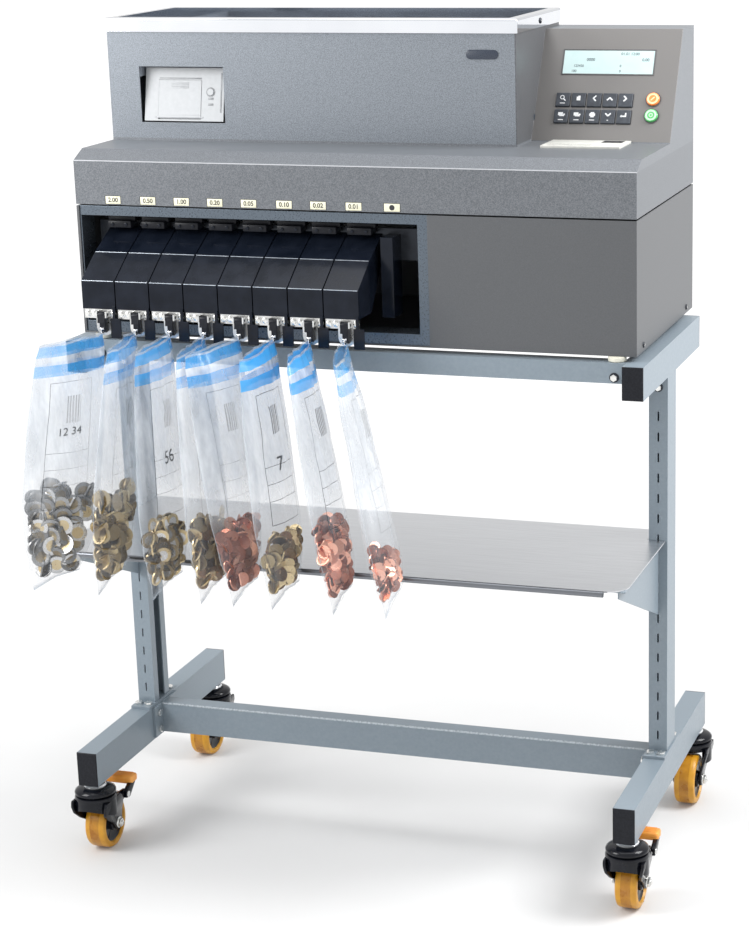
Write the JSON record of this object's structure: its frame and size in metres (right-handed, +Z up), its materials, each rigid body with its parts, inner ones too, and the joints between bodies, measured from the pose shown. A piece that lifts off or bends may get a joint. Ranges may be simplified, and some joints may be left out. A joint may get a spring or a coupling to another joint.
{
  "type": "coin sorting machine",
  "caption": "Coin sorting machine on a wheeled stand: open hopper, slanted key console, receipt printer and a row of black chutes with clipped coin bags.",
  "frame": {"origin": "on the floor under the centre of the bounding box", "axes": "+X to the right seen from the front, +Y to the back, +Z up"},
  "size_m": [0.842, 0.5741, 1.166],
  "materials": {
    "stand_paint": "blue-grey powder coat",
    "casing_paint": "fine-texture grey powder coat",
    "bright_steel": "brushed",
    "zinc": "zinc plated",
    "tray_steel": "dull",
    "chrome_trim": "polished",
    "black_gloss": "moulded gloss",
    "black_matte": "moulded",
    "castor_black": "gloss black",
    "castor_tread": "amber polyurethane on a black core",
    "pedal_orange": "moulded",
    "foot_rubber": "moulded",
    "bag_film": "clear film over coins",
    "key_grey": "moulded",
    "stop_orange": "moulded",
    "start_green": "moulded",
    "display_glass": "clear over a pale screen",
    "board_green": "board",
    "printer_white": "moulded",
    "printer_button": "moulded",
    "disc_metal": "turned",
    "motor_paint": "satin",
    "belt_rubber": "moulded"
  },
  "bodies": {
    "base": {"frame_bolts": "zinc", "base_rails": "stand_paint", "base_crossbar": "stand_paint", "posts": "stand_paint", "top_frame": "stand_paint", "end_caps": "black_matte", "shelf": "bright_steel", "shelf_brackets": "stand_paint", "castor_stems": "castor_black", "machine_feet": "foot_rubber", "lower_casing": "casing_paint", "outlet_frame": "bright_steel", "rear_panel": "casing_paint", "power_inlet": "black_matte", "coin_chutes": "black_gloss", "bag_plates": "bright_steel", "coin_bags": "bag_film", "sorting_rail": "bright_steel", "feed_motor": "motor_paint", "drive_belt": "belt_rubber"},
    "lid": {"upper_casing": "casing_paint", "hopper_tray": "tray_steel", "hopper_rim": "chrome_trim", "display_window": "display_glass", "control_board": "board_green", "printer_body": "printer_white"},
    "printer_door": {"printer_door": "printer_white"},
    "castor_fork_front_left": {"castor_fork_front_left": "castor_black"},
    "castor_wheel_front_left": {"castor_wheel_front_left": "castor_tread"},
    "castor_fork_front_right": {"castor_fork_front_right": "castor_black"},
    "castor_wheel_front_right": {"castor_wheel_front_right": "castor_tread"},
    "castor_fork_rear_left": {"castor_fork_rear_left": "castor_black"},
    "castor_wheel_rear_left": {"castor_wheel_rear_left": "castor_tread"},
    "castor_fork_rear_right": {"castor_fork_rear_right": "castor_black"},
    "castor_wheel_rear_right": {"castor_wheel_rear_right": "castor_tread"},
    "brake_pedal_left": {"brake_pedal_left": "pedal_orange"},
    "brake_pedal_right": {"brake_pedal_right": "pedal_orange"},
    "bag_clip_1": {"bag_clip_1": "black_gloss"},
    "bag_clip_2": {"bag_clip_2": "black_gloss"},
    "bag_clip_3": {"bag_clip_3": "black_gloss"},
    "bag_clip_4": {"bag_clip_4": "black_gloss"},
    "bag_clip_5": {"bag_clip_5": "black_gloss"},
    "bag_clip_6": {"bag_clip_6": "black_gloss"},
    "bag_clip_7": {"bag_clip_7": "black_gloss"},
    "bag_clip_8": {"bag_clip_8": "black_gloss"},
    "feed_disc": {"feed_disc": "disc_metal"},
    "motor_pulley": {"motor_pulley": "disc_metal"},
    "stop_button": {"stop_button": "stop_orange"},
    "start_button": {"start_button": "start_green"},
    "printer_feed_button": {"printer_feed_button": "printer_button"},
    "key_top_1": {"key_top_1": "key_grey"},
    "key_top_2": {"key_top_2": "key_grey"},
    "key_top_3": {"key_top_3": "key_grey"},
    "key_top_4": {"key_top_4": "key_grey"},
    "key_top_5": {"key_top_5": "key_grey"},
    "key_bottom_1": {"key_bottom_1": "key_grey"},
    "key_bottom_2": {"key_bottom_2": "key_grey"},
    "key_bottom_3": {"key_bottom_3": "key_grey"},
    "key_bottom_4": {"key_bottom_4": "key_grey"},
    "key_bottom_5": {"key_bottom_5": "key_grey"}
  },
  "joints": [
    {"name": "lid_hinge", "type": "hinge", "parent": "base", "child": "lid", "pos_m": [0, 0.2565, 0.926], "axis": [-1, 0, 0], "range_deg": [0, 55]},
    {"name": "printer_door_hinge", "type": "hinge", "parent": "lid", "child": "printer_door", "pos_m": [-0.2815, 0.04121, 1.03064], "axis": [1, 0, 0], "range_deg": [0, 85]},
    {"name": "castor_swivel_front_left", "type": "hinge", "parent": "base", "child": "castor_fork_front_left", "pos_m": [-0.391, -0.148, 0.09], "axis": [0, 0, 1], "continuous": true},
    {"name": "castor_roll_front_left", "type": "hinge", "parent": "castor_fork_front_left", "child": "castor_wheel_front_left", "pos_m": [-0.391, -0.124, 0.0375], "axis": [1, 0, 0], "continuous": true},
    {"name": "castor_swivel_front_right", "type": "hinge", "parent": "base", "child": "castor_fork_front_right", "pos_m": [0.391, -0.148, 0.09], "axis": [0, 0, 1], "continuous": true},
    {"name": "castor_roll_front_right", "type": "hinge", "parent": "castor_fork_front_right", "child": "castor_wheel_front_right", "pos_m": [0.391, -0.124, 0.0375], "axis": [1, 0, 0], "continuous": true},
    {"name": "castor_swivel_rear_left", "type": "hinge", "parent": "base", "child": "castor_fork_rear_left", "pos_m": [-0.391, 0.264, 0.09], "axis": [0, 0, 1], "continuous": true},
    {"name": "castor_roll_rear_left", "type": "hinge", "parent": "castor_fork_rear_left", "child": "castor_wheel_rear_left", "pos_m": [-0.391, 0.24, 0.0375], "axis": [1, 0, 0], "continuous": true},
    {"name": "castor_swivel_rear_right", "type": "hinge", "parent": "base", "child": "castor_fork_rear_right", "pos_m": [0.391, 0.264, 0.09], "axis": [0, 0, 1], "continuous": true},
    {"name": "castor_roll_rear_right", "type": "hinge", "parent": "castor_fork_rear_right", "child": "castor_wheel_rear_right", "pos_m": [0.391, 0.24, 0.0375], "axis": [1, 0, 0], "continuous": true},
    {"name": "brake_pedal_hinge_left", "type": "hinge", "parent": "castor_fork_front_left", "child": "brake_pedal_left", "pos_m": [-0.391, -0.102, 0.073], "axis": [-1, 0, 0], "range_deg": [0, 18]},
    {"name": "brake_pedal_hinge_right", "type": "hinge", "parent": "castor_fork_front_right", "child": "brake_pedal_right", "pos_m": [0.391, -0.102, 0.073], "axis": [-1, 0, 0], "range_deg": [0, 18]},
    {"name": "bag_clip_1_lever", "type": "hinge", "parent": "base", "child": "bag_clip_1", "pos_m": [-0.32925, -0.15, 0.7895], "axis": [-1, 0, 0], "range_deg": [0, 55], "stiffness_Nm_per_rad": 0.12, "springref_deg": -20.05},
    {"name": "bag_clip_2_lever", "type": "hinge", "parent": "base", "child": "bag_clip_2", "pos_m": [-0.27975, -0.15, 0.7895], "axis": [-1, 0, 0], "range_deg": [0, 55], "stiffness_Nm_per_rad": 0.12, "springref_deg": -20.05},
    {"name": "bag_clip_3_lever", "type": "hinge", "parent": "base", "child": "bag_clip_3", "pos_m": [-0.23025, -0.15, 0.7895], "axis": [-1, 0, 0], "range_deg": [0, 55], "stiffness_Nm_per_rad": 0.12, "springref_deg": -20.05},
    {"name": "bag_clip_4_lever", "type": "hinge", "parent": "base", "child": "bag_clip_4", "pos_m": [-0.18075, -0.15, 0.7895], "axis": [-1, 0, 0], "range_deg": [0, 55], "stiffness_Nm_per_rad": 0.12, "springref_deg": -20.05},
    {"name": "bag_clip_5_lever", "type": "hinge", "parent": "base", "child": "bag_clip_5", "pos_m": [-0.13125, -0.15, 0.7895], "axis": [-1, 0, 0], "range_deg": [0, 55], "stiffness_Nm_per_rad": 0.12, "springref_deg": -20.05},
    {"name": "bag_clip_6_lever", "type": "hinge", "parent": "base", "child": "bag_clip_6", "pos_m": [-0.08175, -0.15, 0.7895], "axis": [-1, 0, 0], "range_deg": [0, 55], "stiffness_Nm_per_rad": 0.12, "springref_deg": -20.05},
    {"name": "bag_clip_7_lever", "type": "hinge", "parent": "base", "child": "bag_clip_7", "pos_m": [-0.03225, -0.15, 0.7895], "axis": [-1, 0, 0], "range_deg": [0, 55], "stiffness_Nm_per_rad": 0.12, "springref_deg": -20.05},
    {"name": "bag_clip_8_lever", "type": "hinge", "parent": "base", "child": "bag_clip_8", "pos_m": [0.01725, -0.15, 0.7895], "axis": [-1, 0, 0], "range_deg": [0, 55], "stiffness_Nm_per_rad": 0.12, "springref_deg": -20.05},
    {"name": "feed_disc_spin", "type": "hinge", "parent": "base", "child": "feed_disc", "pos_m": [0.25, 0.064, 0.87], "axis": [0, 0, 1], "continuous": true},
    {"name": "motor_pulley_spin", "type": "hinge", "parent": "base", "child": "motor_pulley", "pos_m": [0.335, 0.176, 0.85], "axis": [0, 0, 1], "continuous": true},
    {"name": "stop_button_press", "type": "slide", "parent": "lid", "child": "stop_button", "axis": [0, 0.8762, -0.482], "range_m": [0, 0.002], "stiffness_N_per_m": 500, "springref_m": -0.002},
    {"name": "start_button_press", "type": "slide", "parent": "lid", "child": "start_button", "axis": [0, 0.8762, -0.482], "range_m": [0, 0.002], "stiffness_N_per_m": 500, "springref_m": -0.002},
    {"name": "printer_feed_button_press", "type": "slide", "parent": "lid", "child": "printer_feed_button", "axis": [0, 0.9781, -0.2079], "range_m": [0, 0.0015], "stiffness_N_per_m": 500, "springref_m": -0.002},
    {"name": "key_top_1_press", "type": "slide", "parent": "lid", "child": "key_top_1", "axis": [0, 0.8762, -0.482], "range_m": [0, 0.0012], "stiffness_N_per_m": 500, "springref_m": -0.002},
    {"name": "key_top_2_press", "type": "slide", "parent": "lid", "child": "key_top_2", "axis": [0, 0.8762, -0.482], "range_m": [0, 0.0012], "stiffness_N_per_m": 500, "springref_m": -0.002},
    {"name": "key_top_3_press", "type": "slide", "parent": "lid", "child": "key_top_3", "axis": [0, 0.8762, -0.482], "range_m": [0, 0.0012], "stiffness_N_per_m": 500, "springref_m": -0.002},
    {"name": "key_top_4_press", "type": "slide", "parent": "lid", "child": "key_top_4", "axis": [0, 0.8762, -0.482], "range_m": [0, 0.0012], "stiffness_N_per_m": 500, "springref_m": -0.002},
    {"name": "key_top_5_press", "type": "slide", "parent": "lid", "child": "key_top_5", "axis": [0, 0.8762, -0.482], "range_m": [0, 0.0012], "stiffness_N_per_m": 500, "springref_m": -0.002},
    {"name": "key_bottom_1_press", "type": "slide", "parent": "lid", "child": "key_bottom_1", "axis": [0, 0.8762, -0.482], "range_m": [0, 0.0012], "stiffness_N_per_m": 500, "springref_m": -0.002},
    {"name": "key_bottom_2_press", "type": "slide", "parent": "lid", "child": "key_bottom_2", "axis": [0, 0.8762, -0.482], "range_m": [0, 0.0012], "stiffness_N_per_m": 500, "springref_m": -0.002},
    {"name": "key_bottom_3_press", "type": "slide", "parent": "lid", "child": "key_bottom_3", "axis": [0, 0.8762, -0.482], "range_m": [0, 0.0012], "stiffness_N_per_m": 500, "springref_m": -0.002},
    {"name": "key_bottom_4_press", "type": "slide", "parent": "lid", "child": "key_bottom_4", "axis": [0, 0.8762, -0.482], "range_m": [0, 0.0012], "stiffness_N_per_m": 500, "springref_m": -0.002},
    {"name": "key_bottom_5_press", "type": "slide", "parent": "lid", "child": "key_bottom_5", "axis": [0, 0.8762, -0.482], "range_m": [0, 0.0012], "stiffness_N_per_m": 500, "springref_m": -0.002}
  ],
  "couplings": [
    {"joint": "motor_pulley_spin", "follows": "feed_disc_spin", "ratio": 2.6667}
  ]
}
